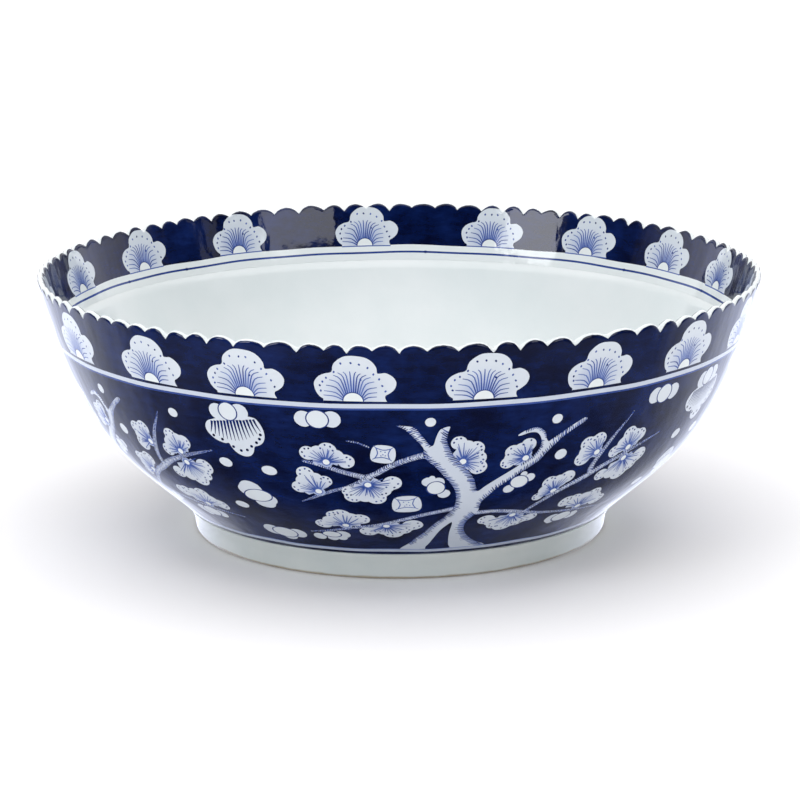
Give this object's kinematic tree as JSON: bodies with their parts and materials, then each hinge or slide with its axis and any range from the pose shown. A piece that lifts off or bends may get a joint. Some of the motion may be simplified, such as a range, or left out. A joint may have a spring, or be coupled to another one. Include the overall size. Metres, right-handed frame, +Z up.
{
  "type": "punch bowl",
  "caption": "Wide round porcelain serving bowl with a scalloped rim and flared wall, standing on a low foot ring.",
  "frame": {"origin": "centre of the foot ring's underside, on the surface the bowl stands on", "axes": "+Z up along the bowl's axis of symmetry, towards the open mouth; -Y towards the side that faces the viewer"},
  "size_m": [0.406, 0.406, 0.149],
  "materials": {
    "cobalt_and_white_porcelain": "clear gloss glaze over dark cobalt painting on white porcelain",
    "white_porcelain": "clear gloss glaze on white porcelain, unglazed on the standing edge"
  },
  "bodies": {
    "root": {"bowl_body": "cobalt_and_white_porcelain", "foot_ring": "white_porcelain"}
  },
  "joints": []
}
